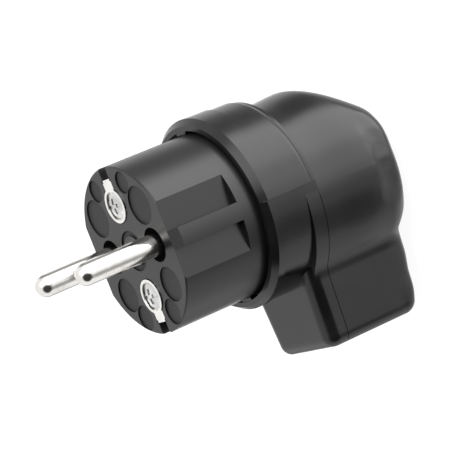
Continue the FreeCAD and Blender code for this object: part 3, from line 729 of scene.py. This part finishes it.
@dataclass
class FrontBody:
    """The front body that carries the pins, with shallow round moulded marks in its face."""

    mark_depth: float = 0.4 * MM
    clear: float = 0.5 * MM
    steps: int = 72
    marks: tuple[FaceMark, ...] = (
        FaceMark(8.3, 9.6, 8.5),
        FaceMark(8.3, -9.6, 8.5),
        FaceMark(4.8, 6.1, 14.0),
        FaceMark(4.8, -6.1, 14.0),
        FaceMark(7.5, 9.6, -8.5),
        FaceMark(7.5, -9.6, -8.5),
        FaceMark(5.6, 6.1, -14.0),
        FaceMark(5.6, -6.1, -14.0),
        FaceMark(8.8, 0.0, 0.0, inner=6.5),
    )

    def ring(
        self, work: bmesh.types.BMesh, diameter: float, mark: FaceMark, height: float
    ) -> list[bmesh.types.BMVert]:
        """Lay a ring of points round a mark's middle.

        Args:
            work: The mesh that gets the points.
            diameter: The ring's diameter in millimetres.
            mark: The mark that it belongs to.
            height: The ring's height in metres.

        Returns:
            The points in order.
        """
        half = diameter / 2
        points = []
        for step in range(self.steps):
            turn = 2.0 * math.pi * step / self.steps
            across = (mark.across + half * math.cos(turn)) * MM
            up = (mark.up + half * math.sin(turn)) * MM
            points.append(work.verts.new((across, up, height)))
        return points

    def cutter(self, top: float) -> bpy.types.Object:
        """Make the solids that are cut out of the face.

        Args:
            top: The face's height.

        Returns:
            An object that holds them all.
        """
        work = bmesh.new()
        heights = (top - self.mark_depth, top + self.clear)
        for mark in self.marks:
            outer_low, outer_high = (
                self.ring(work, mark.diameter, mark, height) for height in heights
            )
            walls = [(outer_low, outer_high)]
            if mark.inner:
                inner_low, inner_high = (
                    self.ring(work, mark.inner, mark, height) for height in heights
                )
                walls += [(inner_high, inner_low), (inner_low, outer_low), (outer_high, inner_high)]
            else:
                work.faces.new(list(reversed(outer_low)))
                work.faces.new(outer_high)
            for first, second in walls:
                for here in range(self.steps):
                    ahead = (here + 1) % self.steps
                    work.faces.new((first[here], first[ahead], second[ahead], second[here]))
        bmesh.ops.recalc_face_normals(work, faces=work.faces)
        mesh = bpy.data.meshes.new("mark_cutter")
        work.to_mesh(mesh)
        work.free()
        cutter = bpy.data.objects.new("mark_cutter", mesh)
        bpy.context.scene.collection.objects.link(cutter)
        return cutter

    def build(self) -> None:
        """Cut the marks into a copy of the front body and dress it."""
        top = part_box("pin_carrier")[1].z
        piece = copied_node("pin_carrier", "marked_body")
        merge_points(piece.data)
        cutter = self.cutter(top)
        cut = piece.modifiers.new("marks", "BOOLEAN")
        cut.operation = "DIFFERENCE"
        cut.solver = "MANIFOLD"
        cut.object = cutter
        bpy.context.view_layer.update()
        ready = piece.evaluated_get(bpy.context.evaluated_depsgraph_get())
        mesh = bpy.data.meshes.new_from_object(ready)
        piece.modifiers.clear()
        piece.data = mesh
        bpy.data.objects.remove(cutter)
        reshape(mesh, np.copy)
        mesh.materials.clear()
        finish = MarkedPlastic(top, self.mark_depth)
        stand_in(piece, "pin_carrier", finish.build())


@dataclass
class Contacts:
    """Everything that is metal: pins, earth clips, screws, terminals and inserts."""

    finishes: tuple[tuple[Slot, PlatedMetal], ...] = (
        (Slot.PIN, PIN_NICKEL),
        (Slot.CLIP, CLIP_NICKEL),
        (Slot.SCREW, SCREW_ZINC),
        (Slot.BRASS, TURNED_BRASS),
    )

    def build(self) -> None:
        """Dress the metal pieces."""
        for slot, finish in self.finishes:
            dress(slot, finish.build())


@dataclass
class Camera:
    """The photograph's camera, from a fit to the pins' known sizes."""

    azimuth: float = math.radians(93.615)
    elevation: float = math.radians(29.344)
    roll: float = math.radians(-113.378)
    distance: float = 528.96 * MM
    focal_pixels: float = 2548.0
    picture: int = 450
    sensor_mm: float = 36.0
    target: tuple[float, float, float] = PLUG_MIDDLE
    off_right: float = 0.7237 * MM
    off_up: float = 3.1034 * MM
    nearest: float = 10.0 * MM
    farthest: float = 20.0

    def axes(self) -> tuple[Vector, Vector, Vector]:
        """Find where the camera's sides point before it is aimed.

        Returns:
            The camera's right, up and backward directions.
        """
        flat = math.cos(self.elevation)
        east, north = math.sin(self.azimuth) * flat, -math.cos(self.azimuth) * flat
        back = Vector((east, north, math.sin(self.elevation)))
        level = Vector((0, 0, 1)).cross(back).normalized()
        upright = back.cross(level)
        right = level * math.cos(self.roll) + upright * math.sin(self.roll)
        return right, back.cross(right), back

    def build(self) -> bpy.types.Object:
        """Place the camera so that the plug falls where it does in the photograph.

        Returns:
            The camera object.
        """
        right, up, back = self.axes()
        place = Vector(self.target) + back * self.distance
        aim = Vector(self.target) + right * self.off_right + up * self.off_up
        back = (place - aim).normalized()
        right = up.cross(back).normalized()
        up = back.cross(right)
        data = bpy.data.cameras.new("photo_camera")
        data.sensor_width = self.sensor_mm
        data.lens = self.focal_pixels / self.picture * self.sensor_mm
        data.clip_start = self.nearest
        data.clip_end = self.farthest
        camera = bpy.data.objects.new("photo_camera", data)
        bpy.context.scene.collection.objects.link(camera)
        turn = Matrix((right, up, back)).transposed().to_4x4()
        camera.matrix_world = Matrix.Translation(place) @ turn
        bpy.context.scene.camera = camera
        return camera


@dataclass(frozen=True)
class Lamp:
    """One soft square lamp that faces a point."""

    name: str
    direction: tuple[float, float, float]
    distance: float
    size: float
    power: float

    def build(self, centre: Vector) -> None:
        """Hang the lamp.

        Args:
            centre: The point that the lamp faces.
        """
        data = bpy.data.lights.new(self.name, "AREA")
        data.shape = "SQUARE"
        data.size = self.size
        data.energy = self.power
        lamp = bpy.data.objects.new(self.name, data)
        away = Vector(self.direction).normalized()
        lamp.location = centre + away * self.distance
        lamp.rotation_mode = "QUATERNION"
        lamp.rotation_quaternion = away.to_track_quat("Z", "Y")
        lamp.visible_glossy = False
        bpy.context.scene.collection.objects.link(lamp)


@dataclass(frozen=True)
class RoomPatch:
    """A soft-edged part of the room that is brighter or darker than the rest.

    Azimuth and elevation give its middle and inner and outer the radii of its soft edge, all in
    degrees. A stretch above 1 makes it taller than it is wide.
    """

    azimuth: float
    elevation: float
    inner: float
    outer: float
    level: float
    stretch: float = 1.0

    def cover(
        self, tree: bpy.types.NodeTree, below: bpy.types.NodeSocket
    ) -> bpy.types.NodeSocket:
        """Lay the patch over the light so far.

        Args:
            tree: The room's node tree.
            below: The brightness under the patch.

        Returns:
            The brightness with the patch.
        """
        squeeze = add_node(tree, "VectorMath", operation="MULTIPLY")
        tree.links.new(add_node(tree, "TexCoord").outputs["Generated"], squeeze.inputs[0])
        squeeze.inputs[1].default_value = (1.0, 1.0, 1.0 / self.stretch)
        direction = add_node(tree, "VectorMath", operation="NORMALIZE")
        tree.links.new(squeeze.outputs["Vector"], direction.inputs[0])
        nearness = add_node(tree, "VectorMath", operation="DOT_PRODUCT")
        tree.links.new(direction.outputs["Vector"], nearness.inputs[0])
        nearness.inputs[1].default_value = self.centre()
        edge = add_node(tree, "MapRange", interpolation_type="SMOOTHSTEP")
        edge.inputs["From Min"].default_value = math.cos(math.radians(self.outer))
        edge.inputs["From Max"].default_value = math.cos(math.radians(self.inner))
        tree.links.new(nearness.outputs["Value"], edge.inputs["Value"])
        blend = add_node(tree, "Mix", data_type="FLOAT", B=self.level)
        tree.links.new(edge.outputs["Result"], blend.inputs["Factor"])
        tree.links.new(below, blend.inputs["A"])
        return blend.outputs["Result"]

    def centre(self) -> Vector:
        """Find the patch's middle.

        Returns:
            The direction in which it lies.
        """
        azimuth, elevation = math.radians(self.azimuth), math.radians(self.elevation)
        flat = math.cos(elevation)
        return Vector((flat * math.cos(azimuth), flat * math.sin(azimuth), math.sin(elevation)))


@dataclass
class Studio:
    """A pale floor and plain soft light."""

    floor_half: float = 3.0
    floor_colour: tuple[float, float, float, float] = (0.20, 0.20, 0.20, 1.0)
    floor_roughness: float = 0.9
    floor_specular: float = 0.1
    floor_glow: float = 0.93
    sky: float = 0.95
    patches: tuple[RoomPatch, ...] = (
        RoomPatch(-150, -25, 6, 34, 0.40),
        RoomPatch(114, -12, 12, 32, 0.30),
        RoomPatch(32, -15, 10, 46, 2.6, stretch=3.0),
        RoomPatch(60, -15, 12, 34, 3.7, stretch=3.0),
        RoomPatch(-44, -25, 6, 22, 0.40),
        RoomPatch(-35, 25, 36, 52, 0.04),
        RoomPatch(-176, -29, 5, 20, 2.0),
        RoomPatch(60, 57, 6, 28, 2.8),
    )
    key: Lamp = Lamp("key", direction=(0.27, 0.47, 0.84), distance=0.9, size=0.5, power=2.0)
    centre: tuple[float, float, float] = PLUG_MIDDLE

    def build(self) -> None:
        """Make the floor, the light all round and the lamp."""
        self.make_floor()
        self.make_sky()
        self.key.build(Vector(self.centre))

    def make_floor(self) -> None:
        """Lay the floor under the plug."""
        half = self.floor_half
        corners = [(-half, -half, 0), (half, -half, 0), (half, half, 0), (-half, half, 0)]
        mesh = bpy.data.meshes.new("floor")
        mesh.from_pydata(corners, [], [(0, 1, 2, 3)])
        floor = bpy.data.objects.new("floor", mesh)
        bpy.context.scene.collection.objects.link(floor)
        material, shader = new_material("pale_floor")
        for name, value in (
            ("Base Color", self.floor_colour),
            ("Roughness", self.floor_roughness),
            ("Specular IOR Level", self.floor_specular),
            ("Emission Color", WHITE),
            ("Emission Strength", self.floor_glow),
        ):
            shader.inputs[name].default_value = value
        mesh.materials.append(material)
        floor.visible_diffuse = False
        floor.visible_glossy = False
        floor.visible_shadow = False

    def make_sky(self) -> None:
        """Fill the room with soft light, brighter and darker in patches."""
        world = bpy.data.worlds.new("soft_room")
        bpy.context.scene.world = world
        world.use_nodes = True
        tree = world.node_tree
        back = tree.nodes["Background"]
        back.inputs["Color"].default_value = WHITE
        even = add_node(tree, "Value")
        light = even.outputs["Value"]
        light.default_value = self.sky
        for patch in self.patches:
            light = patch.cover(tree, light)
        tree.links.new(light, back.inputs["Strength"])


def main() -> None:
    """Build the pieces in order and report each one."""
    logging.basicConfig(level=logging.INFO, format="%(name)s: %(message)s")
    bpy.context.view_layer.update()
    bpy.context.scene.view_settings.view_transform = "Standard"
    steps: list[tuple[str, Callable[[], object]]] = [
        ("camera", Camera().build),
        ("studio", Studio().build),
        ("housing", Housing().build),
        ("front body", FrontBody().build),
        ("contacts", Contacts().build),
    ]
    for name, build in steps:
        build()
        LOG.info("built %s", name)


if __name__ == "__main__":
    main()
